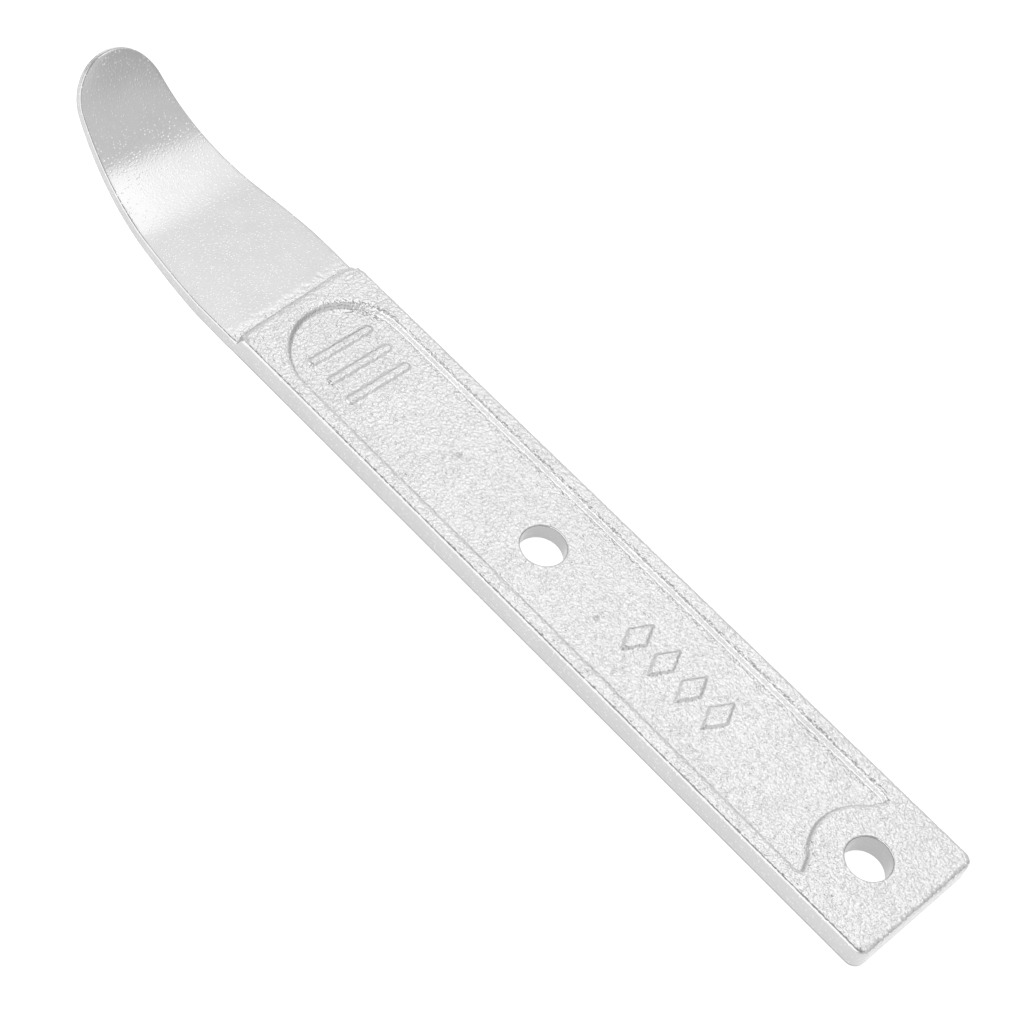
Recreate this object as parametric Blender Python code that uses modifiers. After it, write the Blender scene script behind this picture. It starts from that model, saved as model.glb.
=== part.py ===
"""Tyre lever: one steel forging with a flat bar handle and an upswept spoon blade.

Units are metres, +Z is up and +X runs from the handle's end to the blade's tip.
The lever lies on its flat underside at Z = 0, and the origin is under the middle
of its overall length and width.
"""
import math

import bmesh
import bpy

# ---- handle: a flat bar ----
HANDLE_LENGTH = 0.147
HANDLE_WIDTH = 0.0278
THICKNESS = 0.005
EDGE_ROUND = 0.0005
END_CORNER_RADIUS = 0.002
SHOULDER_CORNER_RADIUS = 0.0015

# ---- two plain holes through the handle ----
HOLE_DIAMETER = 0.008
END_HOLE_FROM_END = 0.011
HOLE_SPACING = 0.074
HOLE_SIDES = 48

# ---- shallow panel sunk into the handle's upper face ----
PANEL_DEPTH = 0.0012
PANEL_HALF_WIDTH = 0.01075
PANEL_ROUND_END_FROM_END = 0.1327
EYE_LAND_RADIUS = 0.0097
EYE_LAND_SWEEP = math.radians(48)
PANEL_HORN_FROM_HOLE = 0.0051
PANEL_HORN_HALF_WIDTH = 0.0102
PANEL_HORN_RUN = 0.0012

# ---- relief standing up from the panel's floor ----
RELIEF_HEIGHT = 0.0005
RELIEF_ROOT = 0.0004
BAR_COUNT = 3
BAR_PITCH = 0.00483
BAR_WIDTH = 0.0017
BAR_LENGTH = 0.0142
BAR_ROW_FROM_HOLE = 0.1195
LOZENGE_COUNT = 4
LOZENGE_PITCH = 0.0062
LOZENGE_WIDTH = 0.0042
LOZENGE_LENGTH = 0.0082
LOZENGE_ROW_FROM_HOLE = 0.0425

# ---- blade: flat at the shoulder, then swept up on one radius to a round tip ----
BLADE_ROOT_THICKNESS = 0.003
BLADE_TIP_THICKNESS = 0.00145
BLADE_FLAT_LENGTH = 0.02375
SWEEP_RADIUS = 0.034
SWEEP_ANGLE = math.radians(57)
BLADE_ROOT_HALF_WIDTH = 0.01385
BLADE_END_HALF_WIDTH = 0.0078
TAPER_START = 0.0094
TAPER_END = 0.0618
TAPER_EASE = 1.25
TIP_LENGTH = 0.0083
TIP_FULLNESS = 2.1
TIP_LAST_STATION = math.radians(88)
BLADE_EDGE_ROUND = 0.0004
BLADE_SINK = 0.00004
BLADE_OVERLAP = 0.006

# ---- how finely the round stretches are divided ----
END_CORNER_STEPS = 8
SHOULDER_CORNER_STEPS = 6
EDGE_ROUND_SEGMENTS = 2
BLADE_CORNER_STEPS = 3
BLADE_ROOT_STATIONS = 5
BLADE_SWEEP_STATIONS = 12
BLADE_TIP_STATIONS = 11
PANEL_ROUND_STEPS = 36
EYE_LAND_STEPS = 20
BAR_END_STEPS = 8
WELD_DISTANCE = 0.000001
FLAT_FACE_ANGLE = math.radians(1)
EDGE_ROUND_ANGLE = math.radians(40)
SHARP_ANGLE = math.radians(35)

# ---- values that follow from the ones above ----
BLADE_LENGTH = BLADE_FLAT_LENGTH + SWEEP_RADIUS * SWEEP_ANGLE
TIP_UNDERSIDE_RADIUS = SWEEP_RADIUS + BLADE_TIP_THICKNESS - BLADE_SINK
BLADE_REACH = BLADE_FLAT_LENGTH + TIP_UNDERSIDE_RADIUS * math.sin(SWEEP_ANGLE)
OVERALL_LENGTH = HANDLE_LENGTH + BLADE_REACH
END_X = -OVERALL_LENGTH / 2
SHOULDER_X = END_X + HANDLE_LENGTH
END_HOLE_X = END_X + END_HOLE_FROM_END
MID_HOLE_X = END_HOLE_X + HOLE_SPACING
PANEL_FLOOR_Z = THICKNESS - PANEL_DEPTH
CUT_MARGIN = 0.002


def clear_scene():
    for old in list(bpy.data.objects):
        bpy.data.objects.remove(old, do_unlink=True)


def new_collection(name):
    collection = bpy.data.collections.new(name)
    bpy.context.scene.collection.children.link(collection)
    return collection


def plated_steel():
    material = bpy.data.materials.new("plated_steel")
    material.use_nodes = True
    shader = material.node_tree.nodes["Principled BSDF"]
    shader.inputs["Base Color"].default_value = (0.80, 0.80, 0.81, 1.0)
    shader.inputs["Metallic"].default_value = 1.0
    shader.inputs["Roughness"].default_value = 0.34
    return material


def arc(centre_x, centre_y, radius, start, end, steps):
    """Points on an arc from angle start to angle end, both ends included."""
    points = []
    for step in range(steps + 1):
        angle = start + (end - start) * step / steps
        points.append((centre_x + radius * math.cos(angle), centre_y + radius * math.sin(angle)))
    return points


def plate(name, outline, bottom, top, collection):
    """A flat outline made solid between two heights, as a mesh object."""
    curve = bpy.data.curves.new(name + "_outline", "CURVE")
    curve.dimensions = "2D"
    curve.fill_mode = "BOTH"
    curve.extrude = (top - bottom) / 2
    spline = curve.splines.new("POLY")
    spline.points.add(len(outline) - 1)
    for point, (x, y) in zip(spline.points, outline):
        point.co = (x, y, 0.0, 1.0)
    spline.use_cyclic_u = True
    drawn = bpy.data.objects.new(name + "_outline", curve)
    drawn.location.z = (bottom + top) / 2
    collection.objects.link(drawn)
    bpy.context.view_layer.update()

    evaluated = drawn.evaluated_get(bpy.context.evaluated_depsgraph_get())
    mesh = bpy.data.meshes.new_from_object(evaluated)
    mesh.name = name
    solid = bpy.data.objects.new(name, mesh)
    solid.matrix_world = drawn.matrix_world.copy()
    collection.objects.link(solid)
    bpy.data.objects.remove(drawn, do_unlink=True)

    shape = bmesh.new()
    shape.from_mesh(mesh)
    bmesh.ops.remove_doubles(shape, verts=shape.verts, dist=WELD_DISTANCE)
    bmesh.ops.dissolve_limit(shape, angle_limit=FLAT_FACE_ANGLE, verts=shape.verts, edges=shape.edges)
    bmesh.ops.recalc_face_normals(shape, faces=shape.faces)
    shape.to_mesh(mesh)
    shape.free()
    return solid


def round_edges(solid):
    bevel = solid.modifiers.new("rounded_edges", "BEVEL")
    bevel.width = EDGE_ROUND
    bevel.segments = EDGE_ROUND_SEGMENTS
    bevel.limit_method = "ANGLE"
    bevel.angle_limit = EDGE_ROUND_ANGLE


def boolean(solid, operation, tool):
    """Joins a tool to a solid or cuts it out, and turns the tool into a guide."""
    modifier = solid.modifiers.new(operation.lower() + "_" + tool.name, "BOOLEAN")
    modifier.operation = operation
    modifier.solver = "EXACT"
    modifier.object = tool
    tool.hide_render = True
    tool.display_type = "WIRE"


def plan_corner(x, y, radius, quadrant, steps):
    """A rounded corner of the bar in plan, counted in quarter turns from +X."""
    start = quadrant * math.pi / 2
    return arc(x, y, radius, start, start + math.pi / 2, steps)


def handle_bar(collection):
    """The bar blank, with rounded plan corners and softly rounded long edges."""
    end_inner = HANDLE_WIDTH / 2 - END_CORNER_RADIUS
    shoulder_inner = HANDLE_WIDTH / 2 - SHOULDER_CORNER_RADIUS
    end_x = END_X + END_CORNER_RADIUS
    shoulder_x = SHOULDER_X - SHOULDER_CORNER_RADIUS
    outline = plan_corner(end_x, -end_inner, END_CORNER_RADIUS, 2, END_CORNER_STEPS)
    outline += plan_corner(shoulder_x, -shoulder_inner, SHOULDER_CORNER_RADIUS, 3, SHOULDER_CORNER_STEPS)
    outline += plan_corner(shoulder_x, shoulder_inner, SHOULDER_CORNER_RADIUS, 0, SHOULDER_CORNER_STEPS)
    outline += plan_corner(end_x, end_inner, END_CORNER_RADIUS, 1, END_CORNER_STEPS)
    bar = plate("tyre_lever", outline, 0.0, THICKNESS, collection)
    round_edges(bar)
    return bar


def blade_half_width(along):
    """Half the blade's width at a distance along its surface from the shoulder."""
    ramp = min(max((along - TAPER_START) / (TAPER_END - TAPER_START), 0.0), 1.0)
    rising = ramp ** TAPER_EASE
    falling = (1.0 - ramp) ** TAPER_EASE
    ease = rising / (rising + falling)
    width = BLADE_ROOT_HALF_WIDTH - (BLADE_ROOT_HALF_WIDTH - BLADE_END_HALF_WIDTH) * ease
    into_tip = max(along - (BLADE_LENGTH - TIP_LENGTH), 0.0) / TIP_LENGTH
    return width * max(1.0 - into_tip ** TIP_FULLNESS, 0.0) ** (1.0 / TIP_FULLNESS)


def blade_frame(along):
    """The upper surface's middle point (x, z) and its upward slope angle there."""
    swept = max(along - BLADE_FLAT_LENGTH, 0.0) / SWEEP_RADIUS
    x = SHOULDER_X + min(along, BLADE_FLAT_LENGTH) + SWEEP_RADIUS * math.sin(swept)
    z = BLADE_ROOT_THICKNESS + SWEEP_RADIUS * (1.0 - math.cos(swept))
    return x, z, swept


def blade_section(along):
    """A rounded rectangle across the blade, square to its upper surface."""
    x, z, slope = blade_frame(along)
    share = max(along, 0.0) / BLADE_LENGTH
    thickness = BLADE_ROOT_THICKNESS + (BLADE_TIP_THICKNESS - BLADE_ROOT_THICKNESS) * share
    thickness -= BLADE_SINK
    half = blade_half_width(along)
    corner = min(BLADE_EDGE_ROUND, half * 0.5)
    quarter = math.pi / 2
    across = half - corner
    lower = corner - thickness
    points = arc(across, -corner, corner, quarter, 0.0, BLADE_CORNER_STEPS)
    points += arc(across, lower, corner, 0.0, -quarter, BLADE_CORNER_STEPS)
    points += arc(-across, lower, corner, -quarter, -2 * quarter, BLADE_CORNER_STEPS)
    points += arc(-across, -corner, corner, 2 * quarter, quarter, BLADE_CORNER_STEPS)
    section = []
    for side, height in points:
        section.append((x - math.sin(slope) * height, side, z + math.cos(slope) * height))
    return section


def blade_stations():
    """Distances along the blade, closer together round the tip."""
    tip_start = BLADE_LENGTH - TIP_LENGTH
    root_step = (BLADE_FLAT_LENGTH - TAPER_START) / BLADE_ROOT_STATIONS
    sweep_step = (tip_start - BLADE_FLAT_LENGTH) / BLADE_SWEEP_STATIONS
    tip_step = TIP_LAST_STATION / BLADE_TIP_STATIONS
    stations = [-BLADE_OVERLAP, 0.0, TAPER_START]
    for n in range(1, BLADE_ROOT_STATIONS + 1):
        stations.append(TAPER_START + root_step * n)
    for n in range(1, BLADE_SWEEP_STATIONS + 1):
        stations.append(BLADE_FLAT_LENGTH + sweep_step * n)
    for n in range(1, BLADE_TIP_STATIONS + 1):
        stations.append(tip_start + TIP_LENGTH * math.sin(tip_step * n))
    return stations


def blade_loft(collection):
    """The blade as a loft: its sections change in width, thickness and slope."""
    shape = bmesh.new()
    rings = [[shape.verts.new(point) for point in blade_section(along)] for along in blade_stations()]
    for first, second in zip(rings, rings[1:]):
        for n in range(len(first)):
            after = (n + 1) % len(first)
            shape.faces.new((first[n], first[after], second[after], second[n]))
    shape.faces.new(rings[0])
    shape.faces.new(rings[-1])
    bmesh.ops.recalc_face_normals(shape, faces=shape.faces)
    mesh = bpy.data.meshes.new("blade_loft")
    shape.to_mesh(mesh)
    shape.free()
    blade = bpy.data.objects.new("blade_loft", mesh)
    collection.objects.link(blade)
    return blade


def panel_cutter(collection):
    """The sunk panel: round towards the blade, and hollowed round the end hole's land."""
    round_x = END_X + PANEL_ROUND_END_FROM_END
    horn_x = END_HOLE_X + PANEL_HORN_FROM_HOLE
    outline = arc(round_x, 0.0, PANEL_HALF_WIDTH, -math.pi / 2, math.pi / 2, PANEL_ROUND_STEPS)
    outline.append((horn_x + PANEL_HORN_RUN, PANEL_HALF_WIDTH))
    outline.append((horn_x, PANEL_HORN_HALF_WIDTH))
    outline += arc(END_HOLE_X, 0.0, EYE_LAND_RADIUS, EYE_LAND_SWEEP, -EYE_LAND_SWEEP, EYE_LAND_STEPS)
    outline.append((horn_x, -PANEL_HORN_HALF_WIDTH))
    outline.append((horn_x + PANEL_HORN_RUN, -PANEL_HALF_WIDTH))
    return plate("panel_cutter", outline, PANEL_FLOOR_Z, THICKNESS + CUT_MARGIN, collection)


def raised_bar(number, collection):
    """One round-ended bar lying across the panel."""
    x = END_HOLE_X + BAR_ROW_FROM_HOLE + BAR_PITCH * (number - (BAR_COUNT - 1) / 2)
    radius = BAR_WIDTH / 2
    reach = BAR_LENGTH / 2 - radius
    outline = arc(x, reach, radius, 0.0, math.pi, BAR_END_STEPS)
    outline += arc(x, -reach, radius, math.pi, 2 * math.pi, BAR_END_STEPS)
    bottom = PANEL_FLOOR_Z - RELIEF_ROOT
    return plate(f"raised_bar_{number + 1}", outline, bottom, PANEL_FLOOR_Z + RELIEF_HEIGHT, collection)


def raised_lozenge(number, collection):
    """One plain lozenge lying across the panel."""
    x = END_HOLE_X + LOZENGE_ROW_FROM_HOLE + LOZENGE_PITCH * (number - (LOZENGE_COUNT - 1) / 2)
    half_width = LOZENGE_WIDTH / 2
    half_length = LOZENGE_LENGTH / 2
    outline = [(x - half_width, 0.0), (x, -half_length), (x + half_width, 0.0), (x, half_length)]
    bottom = PANEL_FLOOR_Z - RELIEF_ROOT
    return plate(f"raised_lozenge_{number + 1}", outline, bottom, PANEL_FLOOR_Z + RELIEF_HEIGHT, collection)


def hole_cutter(name, x, collection):
    """A round cutter that passes both faces of the bar."""
    bpy.ops.mesh.primitive_cylinder_add(
        vertices=HOLE_SIDES,
        radius=HOLE_DIAMETER / 2,
        depth=THICKNESS + 2 * CUT_MARGIN,
        location=(x, 0.0, THICKNESS / 2),
    )
    cutter = bpy.context.active_object
    cutter.name = name
    for owner in list(cutter.users_collection):
        owner.objects.unlink(cutter)
    collection.objects.link(cutter)
    return cutter


def shade(solid):
    for face in solid.data.polygons:
        face.use_smooth = True
    solid.data.set_sharp_from_angle(angle=SHARP_ANGLE)


def build():
    clear_scene()
    parts = new_collection("tyre_lever_parts")
    cutters = new_collection("tyre_lever_cutters")

    lever = handle_bar(parts)
    lever.data.materials.append(plated_steel())

    boolean(lever, "UNION", blade_loft(cutters))
    boolean(lever, "DIFFERENCE", panel_cutter(cutters))
    for number in range(BAR_COUNT):
        boolean(lever, "UNION", raised_bar(number, cutters))
    for number in range(LOZENGE_COUNT):
        boolean(lever, "UNION", raised_lozenge(number, cutters))
    boolean(lever, "DIFFERENCE", hole_cutter("end_hole_cutter", END_HOLE_X, cutters))
    boolean(lever, "DIFFERENCE", hole_cutter("mid_hole_cutter", MID_HOLE_X, cutters))
    shade(lever)


build()
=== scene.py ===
import math

import bpy
import numpy as np
from mathutils import Matrix, Vector
from mathutils.geometry import delaunay_2d_cdt


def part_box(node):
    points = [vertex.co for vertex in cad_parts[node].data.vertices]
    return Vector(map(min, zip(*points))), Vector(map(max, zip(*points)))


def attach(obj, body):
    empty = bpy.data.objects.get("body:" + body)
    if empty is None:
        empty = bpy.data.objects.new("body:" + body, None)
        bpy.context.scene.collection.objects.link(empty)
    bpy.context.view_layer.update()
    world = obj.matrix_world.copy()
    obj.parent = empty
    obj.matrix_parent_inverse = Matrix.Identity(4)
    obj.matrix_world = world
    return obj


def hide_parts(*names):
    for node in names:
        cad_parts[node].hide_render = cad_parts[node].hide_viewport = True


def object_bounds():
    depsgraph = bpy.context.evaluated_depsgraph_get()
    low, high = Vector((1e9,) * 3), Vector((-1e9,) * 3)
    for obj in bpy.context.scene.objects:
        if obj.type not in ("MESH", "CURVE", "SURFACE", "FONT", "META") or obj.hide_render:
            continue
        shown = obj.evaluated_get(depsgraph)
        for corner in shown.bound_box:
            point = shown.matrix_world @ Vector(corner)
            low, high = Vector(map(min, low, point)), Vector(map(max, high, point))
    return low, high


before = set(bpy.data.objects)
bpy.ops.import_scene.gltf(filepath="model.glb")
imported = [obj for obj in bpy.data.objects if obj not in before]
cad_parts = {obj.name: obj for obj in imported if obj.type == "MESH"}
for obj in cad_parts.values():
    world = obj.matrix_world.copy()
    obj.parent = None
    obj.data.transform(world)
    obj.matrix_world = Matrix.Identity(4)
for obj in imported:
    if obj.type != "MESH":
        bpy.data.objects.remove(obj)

CAD_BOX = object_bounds()
LOW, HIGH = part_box("tyre_lever")

# ---- the CAD's own sizes ----
HANDLE_LENGTH = 0.147
HANDLE_HALF_WIDTH = 0.0139
THICKNESS = 0.005
END_HOLE = 0.011 - HANDLE_LENGTH
MID_HOLE = END_HOLE + 0.074
HOLE_RADIUS = 0.004
PANEL_DEPTH = 0.0012
PANEL_HALF_WIDTH = 0.01075
PANEL_ROUND_CENTRE = 0.1327 - HANDLE_LENGTH
EYE_LAND_RADIUS = 0.0097
EYE_LAND_SWEEP = math.radians(48)
HORN = END_HOLE + 0.0051
HORN_HALF_WIDTH = 0.0102
HORN_RUN = 0.0012
BAR_COUNT = 3
BAR_PITCH = 0.00483
BAR_WIDTH = 0.0017
BAR_LENGTH = 0.0142
BAR_ROW = END_HOLE + 0.1195
LOZENGE_COUNT = 4
LOZENGE_PITCH = 0.0062
LOZENGE_WIDTH = 0.0042
LOZENGE_LENGTH = 0.0082
LOZENGE_ROW = END_HOLE + 0.0425
ROOT_THICKNESS = 0.003
TIP_THICKNESS = 0.00145
FLAT_LENGTH = 0.02375
SWEEP_RADIUS = 0.034
BLADE_LENGTH = FLAT_LENGTH + SWEEP_RADIUS * math.radians(57)
ROOT_HALF_WIDTH = 0.01385
TIP_HALF_WIDTH = 0.0078
TAPER_START = 0.0094
TAPER_END = 0.0618
TAPER_EASE = 1.25
TIP_LENGTH = 0.0083
TIP_FULLNESS = 2.1
SHOULDER_X = LOW[0] + HANDLE_LENGTH
STEP = THICKNESS - ROOT_THICKNESS

# ---- the finish that the CAD leaves out: soft drafted walls, rounded rims, cast irregularity ----
# A wall starts OUT outside its outline and ends IN inside it. A lip is the soft slope before a
# wall, and its share is how much of the step it takes. A pair of corners is right and left.
WALL_OUT = 0.0001
WALL_IN = 0.0004
WALL_DRAFT_AT_ROUND_END = 0.0003
LIP_WIDTH = 0.0007
LIP_SHARE = 0.15
RELIEF_OUT = 0.00025
RELIEF_IN = 0.00045
RELIEF_RISE = 0.00036
SHOULDER_LIP = (-0.0013, -0.0001)
SHOULDER_LIP_SHARE = 0.12
SHOULDER_WALL = (-0.00035, 0.00045)
SHOULDER_SKEW = math.tan(math.radians(2.0))
SHOULDER_CORNERS = (0.003, 0.0024)
SHOULDER_CORNER_LIMIT = 0.985
BAR_SKEW = math.tan(math.radians(1.0))
END_CORNERS = (0.0017, 0.0021)
HANDLE_EDGE = 0.0007
BLADE_EDGE = 0.0004
HOLE_EDGE = 0.00028
SKIN_INSET = 0.00003
BLADE_CROWN = 0.00025
CROWN_FULLNESS = 2.5
CROWN_LIFT = 0.4
CROWN_TIP_SHIFT = 0.0003
BLADE_BLEND = 0.0012
EDGE_CHANGE_START = -0.0005
EDGE_CHANGE_RUN = 0.002
EDGE_LIMITS = (0.0002, 0.0011)
END_RAGGED = 0.0002
END_RAGGED_GAP = 0.00085
END_RAGGED_LEAN = 0.3
END_RAGGED_RUN = 0.0003
# A pit is its place along and across, its radius and its depth.
PITS = (
    (-0.0402, -0.00104, 0.0007, 0.00035),
    (-0.0773, 0.00296, 0.0006, 0.0003),
    (-0.0903, 0.0107, 0.0008, 0.00025),
)

# ---- the cast grain: pebbles on low lumps, ending raggedly just past the shoulder ----
PEBBLE_GAP = 0.00072
PEBBLE_DEPTH = 0.00004
PEBBLE_FLATNESS = 1.2
LUMP_GAP = 0.0021
LUMP_DEPTH = 0.000012
LUMP_LIMIT = 1.2
RIPPLE_WAVES = 70
RIPPLE_SPREAD = 0.16
GRAIN_END = 0.0005
GRAIN_FADE = 0.0022
GRAIN_RAGGED = 0.00025
GRAIN_RAGGED_GAP = 0.0018
RIM_GRAIN = (0.75, 0.25, 0.05)
END_FACE_GRAIN = 0.5
END_FACE_GRAIN_START = 0.0012
END_FACE_GRAIN_RUN = 0.0008
HOLE_GRAIN = 0.25

# ---- how far the painted shade reaches: walls, then the lower rims; a darker tone standing in for the shaded floor they reflect and the shade under the lever ----
SIDE_PAINTED_SHADE = (0.38, 1.0)
HOLE_PAINTED_SHADE = (0.62, 0.8)

# ---- seeds of the random draws ----
PEBBLE_SEED = 3
LUMP_SEED = 5
RAGGED_SEED = 8
END_EDGE_SEED = 12
HANDLE_GRID_SEED = 21
BLADE_GRID_SEED = 22
UNDER_GRID_SEED = 23

# ---- how fine the mesh is ----
CORNER_STEPS = 12
SIDE_SAMPLES = 700
TIP_SAMPLES = 161
OUTLINE_JOIN = 0.001
ROUND_END_STEPS = 40
HOLLOW_STEPS = 24
BAR_END_STEPS = 10
HOLE_STEPS = 96
RIM_ANGLES = (0, 24, 46, 68, 90)
RIM_WALL_SHARES = (0.3, 0.7, 0.95)
# the upper rim rows that are left without the painted shade
RIM_ROWS_WITHOUT_PAINTED_SHADE = 3
HANDLE_GAP = 0.00027
BLADE_GAP = 0.0007
UNDER_GAP = 0.0013
LOOP_GAP = 0.00034
WALL_ROWS = (-0.0002, -0.00008, 0.00003, 0.00013, 0.00023, 0.00034, 0.0005)
RELIEF_ROWS = (-0.00045, -0.0003, -0.00015, 0.0, 0.00015, 0.0003, 0.00048)
SHOULDER_ROWS = (-0.0013, -0.001, -0.0007, -0.0004, -0.0002, 0.0, 0.0002, 0.0004, 0.0006)
NEAR = 0.00013
ROW_NEAR = 0.00007
RELIEF_MARGIN = 0.001
FINE_MESH_END = 0.0035
JITTER = 0.2
MILLIMETRES = 1000.0
MERGE_MILLIMETRES = 0.000001
FAR = 1.0


# ---------------------------------------------------------------- plan outlines
def arc(centre, radius, start, end, steps):
    angles = np.linspace(start, end, steps + 1)
    return np.stack([centre[0] + radius * np.cos(angles), centre[1] + radius * np.sin(angles)], 1)


def smooth(share):
    share = np.clip(share, 0.0, 1.0)
    return share * share * (3.0 - 2.0 * share)


def blade_half_width(along):
    ramp = np.clip((along - TAPER_START) / (TAPER_END - TAPER_START), 0.0, 1.0)
    rising = ramp ** TAPER_EASE
    falling = (1.0 - ramp) ** TAPER_EASE
    width = ROOT_HALF_WIDTH - (ROOT_HALF_WIDTH - TIP_HALF_WIDTH) * rising / (rising + falling)
    into_tip = np.clip(along - (BLADE_LENGTH - TIP_LENGTH), 0.0, TIP_LENGTH) / TIP_LENGTH
    return width * (1.0 - into_tip ** TIP_FULLNESS) ** (1.0 / TIP_FULLNESS)


def half_width(along):
    """Half the lever's width: the bar's, easing into the blade's just before the shoulder."""
    on_blade = smooth((along + BLADE_BLEND) / BLADE_BLEND)
    return HANDLE_HALF_WIDTH + (blade_half_width(along) - HANDLE_HALF_WIDTH) * on_blade


def outer_outline():
    """The lever's plan outline, once round from the end's right corner to the tip and back."""
    right, left = END_CORNERS
    end = -HANDLE_LENGTH
    corner = (end + right, right - HANDLE_HALF_WIDTH)
    points = [arc(corner, right, math.pi, 1.5 * math.pi, CORNER_STEPS)]
    tip_start = BLADE_LENGTH - TIP_LENGTH
    straight = np.linspace(end + right + OUTLINE_JOIN, tip_start - OUTLINE_JOIN, SIDE_SAMPLES)
    points.append(np.stack([straight, -half_width(straight)], 1))
    turn = np.linspace(-math.pi / 2, math.pi / 2, TIP_SAMPLES)
    into_tip = np.abs(np.cos(turn)) ** (2.0 / TIP_FULLNESS)
    along = tip_start + TIP_LENGTH * into_tip
    points.append(np.stack([along, np.sign(turn) * blade_half_width(along)], 1))
    straight = np.linspace(tip_start - OUTLINE_JOIN, end + left + OUTLINE_JOIN, SIDE_SAMPLES)
    points.append(np.stack([straight, half_width(straight)], 1))
    corner = (end + left, HANDLE_HALF_WIDTH - left)
    points.append(arc(corner, left, math.pi / 2, math.pi, CORNER_STEPS))
    return np.concatenate(points)


def evenly(points, gap):
    """The same closed line with its points an equal distance apart."""
    line = np.vstack([points, points[:1]])
    steps = np.hypot(*np.diff(line, axis=0).T)
    length = np.concatenate([[0.0], np.cumsum(steps)])
    count = max(int(round(length[-1] / gap)), 3)
    at = np.linspace(0.0, length[-1], count + 1)[:-1]
    return np.stack([np.interp(at, length, line[:, axis]) for axis in (0, 1)], 1)


def inward(points):
    """Unit normals of a closed anticlockwise line, pointing into it."""
    run = np.roll(points, -1, 0) - np.roll(points, 1, 0)
    run /= np.hypot(run[:, 0], run[:, 1])[:, None]
    return np.stack([-run[:, 1], run[:, 0]], 1)


def panel_outline():
    centre = (PANEL_ROUND_CENTRE, 0.0)
    points = [arc(centre, PANEL_HALF_WIDTH, -math.pi / 2, math.pi / 2, ROUND_END_STEPS)]
    points.append([(HORN + HORN_RUN, PANEL_HALF_WIDTH), (HORN, HORN_HALF_WIDTH)])
    hollow = arc((END_HOLE, 0.0), EYE_LAND_RADIUS, EYE_LAND_SWEEP, -EYE_LAND_SWEEP, HOLLOW_STEPS)
    points.append(hollow)
    points.append([(HORN, -HORN_HALF_WIDTH), (HORN + HORN_RUN, -PANEL_HALF_WIDTH)])
    return np.concatenate([np.asarray(part) for part in points])


def bar_outline(number):
    along = BAR_ROW + BAR_PITCH * (number - (BAR_COUNT - 1) / 2)
    radius = BAR_WIDTH / 2
    reach = BAR_LENGTH / 2 - radius
    points = np.concatenate([
        arc((0.0, reach), radius, 0.0, math.pi, BAR_END_STEPS),
        arc((0.0, -reach), radius, math.pi, 2 * math.pi, BAR_END_STEPS),
    ])
    points[:, 0] += along + BAR_SKEW * points[:, 1]
    return points


def lozenge_outline(number):
    along = LOZENGE_ROW + LOZENGE_PITCH * (number - (LOZENGE_COUNT - 1) / 2)
    wide = LOZENGE_WIDTH / 2
    tall = LOZENGE_LENGTH / 2
    return np.array([(along + wide, 0.0), (along, tall), (along - wide, 0.0), (along, -tall)])


def depth_inside(points, outline):
    """Signed distance from a closed outline, positive inside it."""
    first = outline
    second = np.roll(outline, -1, 0)
    nearest = np.full(len(points), FAR)
    inside = np.zeros(len(points), bool)
    for (ax, ay), (bx, by) in zip(first, second):
        run = np.array((bx - ax, by - ay))
        share = ((points[:, 0] - ax) * run[0] + (points[:, 1] - ay) * run[1]) / (run @ run)
        share = np.clip(share, 0.0, 1.0)
        away = np.hypot(points[:, 0] - ax - share * run[0], points[:, 1] - ay - share * run[1])
        nearest = np.minimum(nearest, away)
        if ay != by:
            crosses = (ay > points[:, 1]) != (by > points[:, 1])
            meets = ax + (points[:, 1] - ay) / (by - ay) * (bx - ax)
            inside ^= crosses & (points[:, 0] < meets)
    return np.where(inside, nearest, -nearest)


# ---------------------------------------------------------------- heights
PANEL = panel_outline()
RELIEFS = [bar_outline(number) for number in range(BAR_COUNT)]
RELIEFS += [lozenge_outline(number) for number in range(LOZENGE_COUNT)]


def shoulder_line(across):
    """Where the step to the blade lies: nearly square across, rounded back at the two sides."""
    right, left = SHOULDER_CORNERS
    radius = np.where(across < 0.0, right, left)
    into = (np.abs(across) - (HANDLE_HALF_WIDTH - radius)) / radius
    into = np.clip(into, 0.0, SHOULDER_CORNER_LIMIT)
    return -SHOULDER_SKEW * across - radius * (1.0 - np.sqrt(1.0 - into * into))


def past_shoulder(points):
    """Distance beyond the shoulder line, measured square to it."""
    line = shoulder_line(points[:, 1])
    small = 0.00001
    lean = (shoulder_line(points[:, 1] + small) - shoulder_line(points[:, 1] - small)) / (2 * small)
    return (points[:, 0] - line) / np.sqrt(1.0 + lean * lean)


def ripple(points, wavelength, seed):
    """Even-sized random bumps: many plane waves of one length in seeded directions."""
    random = np.random.default_rng(seed)
    total = np.zeros(len(points))
    for _ in range(RIPPLE_WAVES):
        heading = random.uniform(0.0, 2 * math.pi)
        number = 2 * math.pi / (wavelength * (1.0 + RIPPLE_SPREAD * random.normal()))
        phase = random.uniform(0.0, 2 * math.pi)
        run = points[:, 0] * math.cos(heading) + points[:, 1] * math.sin(heading)
        total += np.cos(number * run + phase)
    return total / math.sqrt(RIPPLE_WAVES / 2)


def cast_skin(points):
    """How far the cast grain sinks below the nominal surface, 0 or more."""
    pebbles = ripple(points, PEBBLE_GAP, PEBBLE_SEED)
    lumps = ripple(points, LUMP_GAP, LUMP_SEED)
    pebble_sink = PEBBLE_DEPTH * (1.0 - np.tanh(PEBBLE_FLATNESS * pebbles))
    lump_sink = LUMP_DEPTH * (LUMP_LIMIT - np.clip(lumps, -LUMP_LIMIT, LUMP_LIMIT))
    return pebble_sink + lump_sink


def cast_share(points):
    """1 on the cast handle, easing to 0 just past the shoulder."""
    ragged = GRAIN_RAGGED * ripple(points, GRAIN_RAGGED_GAP, RAGGED_SEED)
    return 1.0 - smooth((past_shoulder(points) + ragged - GRAIN_END) / GRAIN_FADE)


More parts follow.
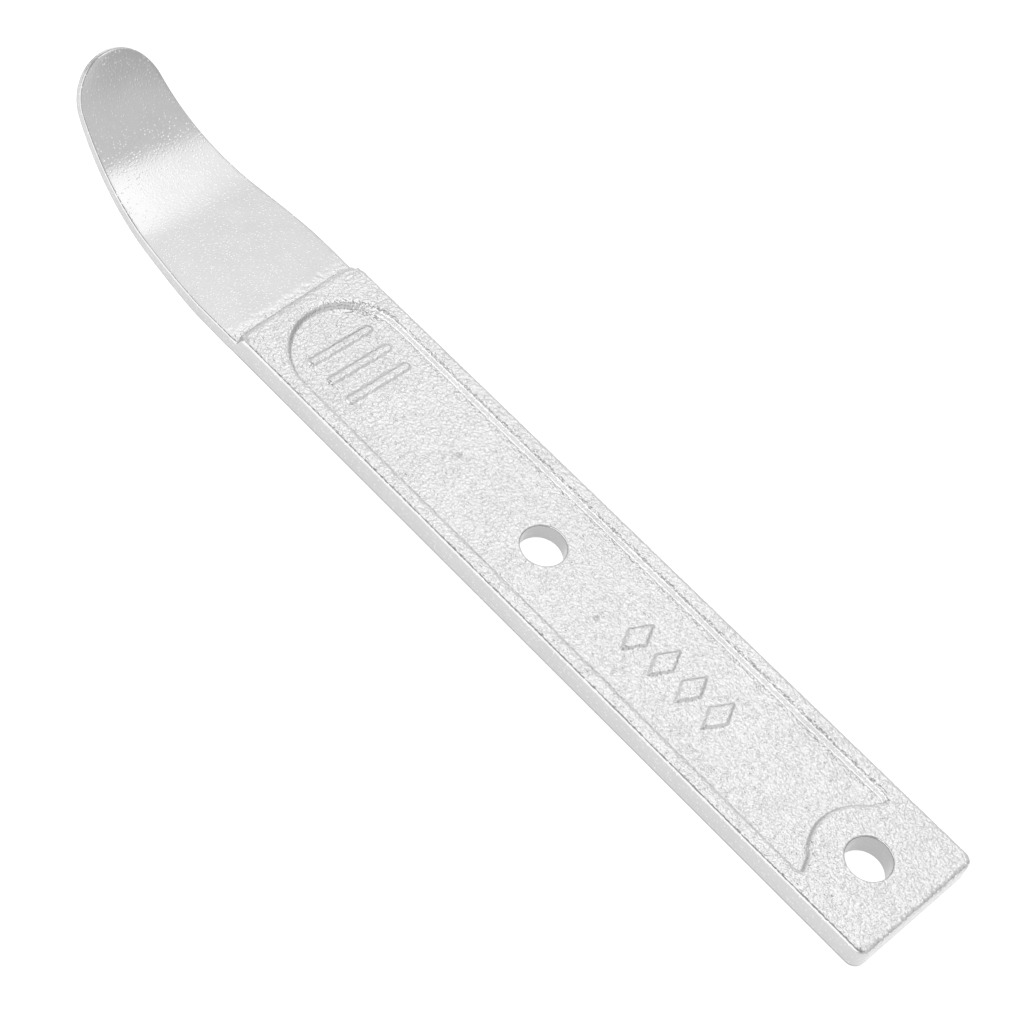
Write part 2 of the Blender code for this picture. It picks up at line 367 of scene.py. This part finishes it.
def pit(points, along, across, radius, depth):
    """How far a small round hollow sinks each place."""
    away = np.hypot(points[:, 0] - along, points[:, 1] - across)
    return depth * (1.0 - smooth(away / radius))


def fallen(reach, lip, lip_share, wall):
    """How far down a step a place is, 0 to 1: over a soft lip first, then down a steep wall."""
    over_lip = smooth((reach - lip[0]) / (lip[1] - lip[0]))
    down_wall = smooth((reach - wall[0]) / (wall[1] - wall[0]))
    return lip_share * over_lip + (1.0 - lip_share) * down_wall


def surface_height(points):
    """The upper surface's height at places (along, across)."""
    handle = 1.0 - fallen(past_shoulder(points), SHOULDER_LIP, SHOULDER_LIP_SHARE, SHOULDER_WALL)
    height = STEP * handle
    panel = depth_inside(points, PANEL)
    into_round_end = smooth((points[:, 0] - PANEL_ROUND_CENTRE) / PANEL_HALF_WIDTH)
    foot = WALL_IN + WALL_DRAFT_AT_ROUND_END * into_round_end
    height -= PANEL_DEPTH * fallen(panel, (-LIP_WIDTH, 0.0), LIP_SHARE, (-WALL_OUT, foot))
    for outline in RELIEFS:
        margin = 2 * RELIEF_OUT
        low = outline.min(0) - margin
        high = outline.max(0) + margin
        near = np.all((points > low) & (points < high), 1)
        rise = smooth((depth_inside(points[near], outline) + RELIEF_OUT) / (RELIEF_OUT + RELIEF_IN))
        height[near] += RELIEF_RISE * rise
    for values in PITS:
        height -= pit(points, *values)
    across = points[:, 1] / half_width(points[:, 0] - CROWN_TIP_SHIFT)
    across = np.clip(across, -1.0, 1.0)
    height -= BLADE_CROWN * (np.abs(across) ** CROWN_FULLNESS - CROWN_LIFT) * (1.0 - handle)
    share = cast_share(points)
    return height - SKIN_INSET * share - cast_skin(points) * share


def bottom_height(points):
    """The underside's height: level under the handle, rising as the blade thins to its tip."""
    on_blade = np.clip(points[:, 0], 0, None)
    thickness = ROOT_THICKNESS + (TIP_THICKNESS - ROOT_THICKNESS) * on_blade / BLADE_LENGTH
    return -thickness


def place(points, heights):
    """Lays places on the lever's real shape, with the blade swept up on its radius."""
    along = points[:, 0]
    swept = np.clip(along - FLAT_LENGTH, 0.0, None) / SWEEP_RADIUS
    x = SHOULDER_X + np.minimum(along, FLAT_LENGTH) + (SWEEP_RADIUS - heights) * np.sin(swept)
    z = ROOT_THICKNESS + SWEEP_RADIUS - (SWEEP_RADIUS - heights) * np.cos(swept)
    return np.stack([x, points[:, 1], z], 1)


# ---------------------------------------------------------------- mesh
class Surface:
    """Collects the one closed skin: its places, its faces, and each place's grain and share of
    painted shade.
    """

    def __init__(self):
        self.places = []
        self.skin = []
        self.side = []
        self.faces = []
        self.count = 0

    def add(self, points, heights, skin, side=0.0):
        self.places.append(place(points, heights))
        self.skin.append(np.broadcast_to(np.asarray(skin, float), len(points)))
        # side is how much painted shade these places take
        self.side.append(np.full(len(points), side))
        start = self.count
        self.count += len(points)
        return np.arange(start, self.count)

    def strip(self, first, second):
        """Quads between two closed rows of the same length."""
        for a, b, c, d in zip(first, np.roll(first, -1), np.roll(second, -1), second):
            self.faces.append((a, b, c, d))


def spread_out(points, gap):
    """Drops points that lie in the same small cell as an earlier one."""
    cells = np.floor(points / gap).astype(int)
    _, keep = np.unique(cells, axis=0, return_index=True)
    return points[np.sort(keep)]


def jittered(low, high, gap, seed):
    """A triangular grid of points, each nudged a little."""
    random = np.random.default_rng(seed)
    rows = np.arange(low[1], high[1], gap * math.sqrt(0.75))
    grid = []
    for number, across in enumerate(rows):
        along = np.arange(low[0] + gap * (number % 2) / 2, high[0], gap)
        grid.append(np.stack([along, np.full(len(along), across)], 1))
    grid = np.concatenate(grid)
    return grid + random.uniform(-JITTER, JITTER, grid.shape) * gap


def wall_rows(outline, gap, insets):
    """Rows of points along an outline, each a set distance inside it."""
    line = evenly(outline, gap)
    normal = inward(line)
    return [line + normal * inset for inset in insets]


def upper_points():
    """Points of the upper surface: rows along every wall, and a grid between them."""
    rows = wall_rows(PANEL, LOOP_GAP, WALL_ROWS)
    for outline in RELIEFS:
        rows += wall_rows(outline, LOOP_GAP, RELIEF_ROWS)
    across = np.arange(-HANDLE_HALF_WIDTH, HANDLE_HALF_WIDTH, LOOP_GAP)
    for past in SHOULDER_ROWS:
        rows.append(np.stack([shoulder_line(across) + past, across], 1))
    rows = spread_out(np.concatenate(rows), ROW_NEAR)

    low = (-HANDLE_LENGTH, -HANDLE_HALF_WIDTH)
    high = (FINE_MESH_END, HANDLE_HALF_WIDTH)
    handle = jittered(low, high, HANDLE_GAP, HANDLE_GRID_SEED)
    low = (FINE_MESH_END, -HANDLE_HALF_WIDTH)
    high = (BLADE_LENGTH, HANDLE_HALF_WIDTH)
    blade = jittered(low, high, BLADE_GAP, BLADE_GRID_SEED)
    grid = np.concatenate([handle, blade])
    panel = depth_inside(grid, PANEL)
    clear = (panel < WALL_ROWS[0] - NEAR) | (panel > WALL_ROWS[-1] + NEAR)
    past = past_shoulder(grid)
    clear &= (past < SHOULDER_ROWS[0] - NEAR) | (past > SHOULDER_ROWS[-1] + NEAR)
    for outline in RELIEFS:
        low = outline.min(0) - RELIEF_MARGIN
        high = outline.max(0) + RELIEF_MARGIN
        near = np.all((grid > low) & (grid < high), 1)
        depth = depth_inside(grid[near], outline)
        clear[near] &= (depth < RELIEF_ROWS[0] - NEAR) | (depth > RELIEF_ROWS[-1] + NEAR)
    return np.concatenate([rows, grid[clear]])


def fill(surface, inner, loops, heights_of, skin_of, upward):
    """Triangulates one face between its boundary loops (index rows already in the surface)."""
    ring_points = np.concatenate([points for points, _ in loops])
    ring_index = np.concatenate([index for _, index in loops])
    outer = loops[0][0]
    inside = depth_inside(inner, outer) > NEAR
    for hole, _ in loops[1:]:
        inside &= depth_inside(inner, hole) < -NEAR
    inner = inner[inside]
    index = np.concatenate([ring_index, surface.add(inner, heights_of(inner), skin_of(inner))])

    edges = []
    start = 0
    for points, _ in loops:
        numbers = np.arange(start, start + len(points))
        edges += list(zip(numbers.tolist(), np.roll(numbers, -1).tolist()))
        start += len(points)
    everything = np.concatenate([ring_points, inner])
    vectors = [Vector(point) for point in everything * MILLIMETRES]
    result = delaunay_2d_cdt(vectors, edges, [], 0, MERGE_MILLIMETRES)
    origin = [source[0] if source else -1 for source in result[3]]
    triangles = np.array(origin)[np.array(result[2])]
    triangles = triangles[np.all(triangles >= 0, 1)]
    middle = everything[triangles].mean(1)
    kept = depth_inside(middle, outer) > 0
    for hole, _ in loops[1:]:
        kept &= depth_inside(middle, hole) < 0
    for triangle in index[triangles[kept]]:
        surface.faces.append(tuple(triangle) if upward else tuple(triangle[::-1]))


def edge_radius(along):
    on_blade = smooth((along - EDGE_CHANGE_START) / EDGE_CHANGE_RUN)
    return HANDLE_EDGE + (BLADE_EDGE - HANDLE_EDGE) * on_blade


def rim(surface, outline, normal, radius, lower_radius, skin, painted_shade):
    """A rounded rim: rows from the upper face's loop, down the wall, to the lower face's loop.

    normal points from the wall into the metal, and each radius is one number a point. painted_shade
    is how far the painted shade reaches on the wall, and on the lower rim: a darker tone standing in
    for the shaded floor that they reflect and the shade under the lever."""
    upper = outline + normal * radius[:, None]
    top = surface_height(upper)
    bottom = bottom_height(outline)
    quarter = np.radians(RIM_ANGLES)
    rows = []
    for angle in quarter:
        inset = radius * (1.0 - math.sin(angle))
        rows.append((inset, top - radius * (1.0 - math.cos(angle))))
    start = top - radius
    for share in RIM_WALL_SHARES:
        rows.append((np.zeros(len(outline)), start + (bottom + lower_radius - start) * share))
    last_wall_row = len(rows) - 1
    for angle in quarter[::-1]:
        inset = lower_radius * (1.0 - math.sin(angle))
        rows.append((inset, bottom + lower_radius * (1.0 - math.cos(angle))))
    loops = []
    for number, (inset, height) in enumerate(rows):
        points = outline + normal * inset[:, None]
        # Painted shade: the wall rows and the lower rim rows take a darker tone, and the top rows
        # take none.
        side = painted_shade[0] if number <= last_wall_row else painted_shade[1]
        if number < RIM_ROWS_WITHOUT_PAINTED_SHADE:
            side = 0.0
        loops.append((points, surface.add(points, height, skin(points, number), side)))
    for (_, above), (_, below) in zip(loops, loops[1:]):
        surface.strip(below, above)
    return loops[0], loops[-1]


def hole_skin(points, number):
    """The holes' walls carry a little of the cast grain, the same on every row."""
    return HOLE_GRAIN


def hole_rim(surface, along):
    angles = np.linspace(0.0, -2 * math.pi, HOLE_STEPS, endpoint=False)
    normal = np.stack([np.cos(angles), np.sin(angles)], 1)
    outline = np.array((along, 0.0)) + HOLE_RADIUS * normal
    radius = np.full(len(outline), HOLE_EDGE)
    return rim(surface, outline, normal, radius, radius, hole_skin, HOLE_PAINTED_SHADE)


def edge_skin(points, number):
    """The cast grain fades out over the upper rim, and stays only on the handle's end face."""
    fade = RIM_GRAIN[number] if number < len(RIM_GRAIN) else 0.0
    at_end = smooth((-HANDLE_LENGTH + END_FACE_GRAIN_START - points[:, 0]) / END_FACE_GRAIN_RUN)
    return cast_share(points) * np.maximum(fade, END_FACE_GRAIN * at_end)


def build_lever():
    surface = Surface()
    outline = evenly(outer_outline(), LOOP_GAP)
    normal = inward(outline)
    lower_radius = edge_radius(outline[:, 0])
    at_end = smooth((-HANDLE_LENGTH + END_RAGGED_RUN - outline[:, 0]) / END_RAGGED_RUN)
    unevenness = END_RAGGED_LEAN + ripple(outline, END_RAGGED_GAP, END_EDGE_SEED)
    radius = np.clip(lower_radius + END_RAGGED * at_end * unevenness, *EDGE_LIMITS)
    edge = rim(surface, outline, normal, radius, lower_radius, edge_skin, SIDE_PAINTED_SHADE)
    top_loop, bottom_loop = edge
    holes = [hole_rim(surface, along) for along in (END_HOLE, MID_HOLE)]

    upper_loops = [top_loop] + [pair[0] for pair in holes]
    fill(surface, upper_points(), upper_loops, surface_height, cast_share, True)
    lower_loops = [bottom_loop] + [pair[1] for pair in holes]
    low = (-HANDLE_LENGTH, -HANDLE_HALF_WIDTH)
    high = (BLADE_LENGTH, HANDLE_HALF_WIDTH)
    grid = jittered(low, high, UNDER_GAP, UNDER_GRID_SEED)
    fill(surface, grid, lower_loops, bottom_height, cast_share, False)

    mesh = bpy.data.meshes.new("lever_skin")
    mesh.from_pydata(np.concatenate(surface.places).tolist(), [], surface.faces)
    mesh.validate()
    # The second attribute carries the painted shade of the walls, hole walls and lower rims.
    for name, values in (("cast_share", surface.skin), ("painted_shade_share", surface.side)):
        attribute = mesh.attributes.new(name, "FLOAT", "POINT")
        attribute.data.foreach_set("value", np.concatenate(values).astype(np.float32))
    mesh.polygons.foreach_set("use_smooth", [True] * len(mesh.polygons))
    mesh.update()
    lever = bpy.data.objects.new("lever_forging", mesh)
    bpy.context.scene.collection.objects.link(lever)
    return lever


# ---------------------------------------------------------------- materials
# Noise scales are features a metre, and bump heights are metres. A pair is low and high.
GRAIN_SCALE = 2100.0
FINE_SCALE = 4200.0
MOTTLE_SCALE = 2300.0
CLOUD_SCALE = 160.0
SPECK_SCALE = 2100.0
NOISE_LIMITS = (0.3, 0.7)
SPECK_REACH = 0.5
SPECK_RARITY = 1.7
SMOOTH_ROUGHNESS = (0.13, 0.17)
CAST_ROUGHNESS = (0.17, 0.25)
SMOOTH_TONE = (0.67, 0.7)
CAST_TONE = (0.75, 0.785)
SPECK_TONE = 1.0
# the darker tone of the painted shade on the walls and lower rims
PAINTED_SHADE_TONE = 0.3
GRAIN_HEIGHT = 0.00016
FINE_HEIGHT = 0.00001
MOTTLE_HEIGHT = 0.00002
SPECK_HEIGHT = 0.00004
FLOOR_TONE = 0.5
FLOOR_ROUGHNESS = 0.9
FLOOR_GLOW = 0.85


class Nodes:
    """Short ways to add and join shader nodes."""

    def __init__(self, material):
        material.use_nodes = True
        self.tree = material.node_tree
        self.shader = self.tree.nodes["Principled BSDF"]

    def add(self, kind, **values):
        node = self.tree.nodes.new(kind)
        for name, value in values.items():
            setattr(node, name, value)
        return node

    def link(self, source, target):
        self.tree.links.new(source, target)

    def noise(self, coordinates, scale, detail, roughness):
        node = self.add("ShaderNodeTexNoise")
        node.inputs["Scale"].default_value = scale
        node.inputs["Detail"].default_value = detail
        node.inputs["Roughness"].default_value = roughness
        self.link(coordinates, node.inputs["Vector"])
        return node.outputs["Fac"]

    def ramp(self, source, low, high, to_low, to_high):
        """Maps low..high of the source onto to_low..to_high, with soft ends."""
        node = self.add("ShaderNodeMapRange", interpolation_type="SMOOTHSTEP")
        node.inputs["From Min"].default_value = low
        node.inputs["From Max"].default_value = high
        node.inputs["To Min"].default_value = to_low
        node.inputs["To Max"].default_value = to_high
        self.link(source, node.inputs["Value"])
        return node.outputs["Result"]

    def put(self, value, socket):
        """Sets a socket to a number, or joins it to another node's output."""
        if isinstance(value, float):
            socket.default_value = value
        else:
            self.link(value, socket)

    def math(self, operation, first, second):
        node = self.add("ShaderNodeMath", operation=operation)
        for socket, value in zip(node.inputs, (first, second)):
            self.put(value, socket)
        return node.outputs["Value"]

    def mix(self, share, first, second):
        """The first value where share is 0, the second where it is 1."""
        node = self.add("ShaderNodeMix", data_type="FLOAT")
        for name, value in (("Factor", share), ("A", first), ("B", second)):
            self.put(value, node.inputs[name])
        return node.outputs["Result"]

    def bump(self, height, strength, distance, normal=None):
        """Adds one layer of bumps on top of an earlier layer's normal."""
        node = self.add("ShaderNodeBump")
        node.inputs["Distance"].default_value = distance
        self.link(height, node.inputs["Height"])
        self.link(strength, node.inputs["Strength"])
        if normal is not None:
            self.link(normal, node.inputs["Normal"])
        return node.outputs["Normal"]


def plated_steel():
    """Nickel plating: satin over cast grain where cast_share is 1, smoother elsewhere.

    The smooth blade carries small bright specks, and the side faces, hole walls and lower rims carry
    painted shade: a darker tone standing in for the shaded floor they reflect."""
    material = bpy.data.materials.new("plated_steel_finish")
    nodes = Nodes(material)
    place_at = nodes.add("ShaderNodeTexCoord").outputs["Object"]
    cast = nodes.add("ShaderNodeAttribute", attribute_name="cast_share").outputs["Fac"]
    # the share of painted shade that each place takes
    side = nodes.add("ShaderNodeAttribute", attribute_name="painted_shade_share").outputs["Fac"]

    grain = nodes.noise(place_at, GRAIN_SCALE, 1.0, 0.4)
    fine = nodes.noise(place_at, FINE_SCALE, 2.0, 0.5)
    mottle = nodes.noise(place_at, MOTTLE_SCALE, 2.0, 0.5)
    cloud = nodes.noise(place_at, CLOUD_SCALE, 3.0, 0.55)
    cells = nodes.add("ShaderNodeTexVoronoi")
    cells.inputs["Scale"].default_value = SPECK_SCALE
    nodes.link(place_at, cells.inputs["Vector"])
    chosen = nodes.add("ShaderNodeSeparateColor")
    nodes.link(cells.outputs["Color"], chosen.inputs["Color"])
    present = nodes.math("POWER", chosen.outputs["Red"], SPECK_RARITY)
    near_middle = nodes.ramp(cells.outputs["Distance"], 0.0, SPECK_REACH, 1.0, 0.0)
    speck = nodes.math("MULTIPLY", near_middle, present)

    smooth_roughness = nodes.ramp(cloud, *NOISE_LIMITS, *SMOOTH_ROUGHNESS)
    cast_roughness = nodes.ramp(fine, *NOISE_LIMITS, *CAST_ROUGHNESS)
    nodes.link(nodes.mix(cast, smooth_roughness, cast_roughness), nodes.shader.inputs["Roughness"])

    clear_tone = nodes.ramp(cloud, *NOISE_LIMITS, *SMOOTH_TONE)
    smooth_tone = nodes.mix(speck, clear_tone, SPECK_TONE)
    cast_tone = nodes.ramp(cloud, *NOISE_LIMITS, *CAST_TONE)
    light_tone = nodes.mix(cast, smooth_tone, cast_tone)
    # Painted shade: mixes the walls, hole walls and lower rims toward the darker tone.
    tone = nodes.mix(side, light_tone, PAINTED_SHADE_TONE)
    colour = nodes.add("ShaderNodeCombineColor")
    for channel in ("Red", "Green", "Blue"):
        nodes.link(tone, colour.inputs[channel])
    nodes.link(colour.outputs["Color"], nodes.shader.inputs["Base Color"])
    nodes.shader.inputs["Metallic"].default_value = 1.0

    normal = nodes.bump(grain, nodes.mix(cast, 0.0, 1.0), GRAIN_HEIGHT)
    normal = nodes.bump(fine, nodes.mix(cast, 0.0, 0.5), FINE_HEIGHT, normal)
    normal = nodes.bump(mottle, nodes.mix(cast, 1.0, 0.0), MOTTLE_HEIGHT, normal)
    normal = nodes.bump(speck, nodes.mix(cast, 0.9, 0.3), SPECK_HEIGHT, normal)
    nodes.link(normal, nodes.shader.inputs["Normal"])
    return material


def floor_white():
    """A white table that glows a little, so that it stays near white in the picture."""
    material = bpy.data.materials.new("floor_white")
    nodes = Nodes(material)
    nodes.shader.inputs["Base Color"].default_value = (FLOOR_TONE, FLOOR_TONE, FLOOR_TONE, 1.0)
    nodes.shader.inputs["Roughness"].default_value = FLOOR_ROUGHNESS
    nodes.shader.inputs["Specular IOR Level"].default_value = 0.0
    nodes.shader.inputs["Emission Color"].default_value = (1.0, 1.0, 1.0, 1.0)
    nodes.shader.inputs["Emission Strength"].default_value = FLOOR_GLOW
    return material


# ---------------------------------------------------------------- studio
FLOOR_HALF_SIZE = 3.0
FLOOR_GAP = 0.00005
SKY_LEVEL = 0.77
# A patch of the sky: its direction, the angles from it where it is full and gone, its change.
SKY_PATCHES = (
    ((0.2, 0.05, 0.98), 8.0, 26.0, -0.44),
    ((-0.42, 0.38, 0.82), 8.0, 28.0, -0.45),
    ((-0.6, -0.8, 0.0), 10.0, 40.0, -0.25),
    ((0.08, -0.38, 1.0), 4.0, 28.0, 0.2),
)
DOWN = (0.0, 0.0, -1.0)
ALONG = (1.0, 0.0, 0.0)
# The key lamp is placed by one of its edges, whose reflection is where the blade turns bright.
KEY_EDGE = (-0.21, -0.54, 1.0)
KEY_EDGE_RUN = (0.45, -0.893, 0.0)
KEY_SHIFT = 0.4
KEY_SIZE = (1.2, 1.0)
KEY_LEVEL = 0.8
ACCENT_PLACE = (0.1, -0.365, 0.99)
ACCENT_SIZE = (0.72, 0.33)
ACCENT_LEVEL = 0.75
FILL_PLACE = (0.35, 1.0, 0.72)
FILL_FACING = (-0.3, -1.0, -0.72)
FILL_SIZE = (2.6, 1.5)
FILL_LEVEL = 2.0


def build_floor():
    size = FLOOR_HALF_SIZE
    mesh = bpy.data.meshes.new("studio_floor")
    corners = [(-size, -size, 0.0), (size, -size, 0.0), (size, size, 0.0), (-size, size, 0.0)]
    mesh.from_pydata(corners, [], [(0, 1, 2, 3)])
    mesh.materials.append(floor_white())
    floor = bpy.data.objects.new("studio_floor", mesh)
    floor.location.z = LOW[2] - FLOOR_GAP
    bpy.context.scene.collection.objects.link(floor)


def sky_patch(tree, before, towards, inner, outer, change):
    """Adds a soft round patch of another brightness to the sky.

    The patch is full within the inner angle from its middle and gone beyond the outer one."""
    facing = tree.nodes.new("ShaderNodeVectorMath")
    facing.operation = "DOT_PRODUCT"
    facing.inputs[1].default_value = Vector(towards).normalized()
    tree.links.new(tree.nodes["Texture Coordinate"].outputs["Generated"], facing.inputs[0])
    patch = tree.nodes.new("ShaderNodeMapRange")
    patch.interpolation_type = "SMOOTHSTEP"
    patch.inputs["From Min"].default_value = math.cos(math.radians(outer))
    patch.inputs["From Max"].default_value = math.cos(math.radians(inner))
    patch.inputs["To Max"].default_value = change
    tree.links.new(facing.outputs["Value"], patch.inputs["Value"])
    total = tree.nodes.new("ShaderNodeMath")
    if isinstance(before, float):
        total.inputs[0].default_value = before
    else:
        tree.links.new(before, total.inputs[0])
    tree.links.new(patch.outputs["Result"], total.inputs[1])
    return total.outputs["Value"]


def build_world():
    """A pale grey room: dark overhead, by the camera and low behind, brighter by the accent lamp."""
    world = bpy.data.worlds.new("studio_sky")
    world.use_nodes = True
    tree = world.node_tree
    tree.nodes.new("ShaderNodeTexCoord")
    level = SKY_LEVEL
    for towards, inner, outer, change in SKY_PATCHES:
        level = sky_patch(tree, level, towards, inner, outer, change)
    tree.links.new(level, tree.nodes["Background"].inputs["Strength"])
    tree.nodes["Background"].inputs["Color"].default_value = (1.0, 1.0, 1.0, 1.0)
    bpy.context.scene.world = world


def soft_box(name, centre, facing, run, size, level):
    """A rectangular lamp of an even brightness, its long side along run."""
    light = bpy.data.lights.new(name, "AREA")
    light.shape = "RECTANGLE"
    light.size, light.size_y = size
    light.energy = level * size[0] * size[1]
    lamp = bpy.data.objects.new(name, light)
    back = -Vector(facing).normalized()
    side = (Vector(run) - back * back.dot(Vector(run))).normalized()
    turn = Matrix((side, back.cross(side), back)).transposed()
    lamp.matrix_world = Matrix.Translation(centre) @ turn.to_4x4()
    bpy.context.scene.collection.objects.link(lamp)


def build_lamps():
    run = Vector(KEY_EDGE_RUN)
    across = Vector((-run.y, run.x, 0.0))
    centre = Vector(KEY_EDGE) + run * KEY_SHIFT + across * (KEY_SIZE[1] / 2)
    soft_box("key_lamp", centre, DOWN, run, KEY_SIZE, KEY_LEVEL)
    soft_box("accent_lamp", ACCENT_PLACE, DOWN, ALONG, ACCENT_SIZE, ACCENT_LEVEL)
    soft_box("fill_lamp", FILL_PLACE, FILL_FACING, ALONG, FILL_SIZE, FILL_LEVEL)


# ---------------------------------------------------------------- camera
CAMERA_AZIMUTH = math.radians(209.89)
CAMERA_ELEVATION = math.radians(52.89)
CAMERA_ROLL = math.radians(19.79)
CAMERA_DISTANCE = 0.48845
CAMERA_LENS = 103.0
CAMERA_AIM = (-0.00583, -0.00274)
SENSOR_WIDTH = 36.0
CLIP_START = 0.01


def build_camera():
    data = bpy.data.cameras.new("camera")
    data.lens = CAMERA_LENS
    data.sensor_width = SENSOR_WIDTH
    data.clip_start = CLIP_START
    camera = bpy.data.objects.new("camera", data)
    centre = (Vector(CAD_BOX[0]) + Vector(CAD_BOX[1])) / 2
    aim = Vector((centre[0] + CAMERA_AIM[0], centre[1] + CAMERA_AIM[1], LOW[2]))
    flat = math.cos(CAMERA_ELEVATION)
    back = Vector((
        math.sin(CAMERA_AZIMUTH) * flat,
        -math.cos(CAMERA_AZIMUTH) * flat,
        math.sin(CAMERA_ELEVATION),
    ))
    turn = back.to_track_quat("Z", "Y").to_matrix() @ Matrix.Rotation(CAMERA_ROLL, 3, "Z")
    camera.matrix_world = Matrix.Translation(aim + back * CAMERA_DISTANCE) @ turn.to_4x4()
    bpy.context.scene.collection.objects.link(camera)
    bpy.context.scene.camera = camera


def main():
    lever = build_lever()
    lever.data.materials.append(plated_steel())
    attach(lever, "root")
    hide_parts("tyre_lever")
    build_floor()
    build_world()
    build_lamps()
    build_camera()
    bpy.context.scene.view_settings.view_transform = "Standard"


main()
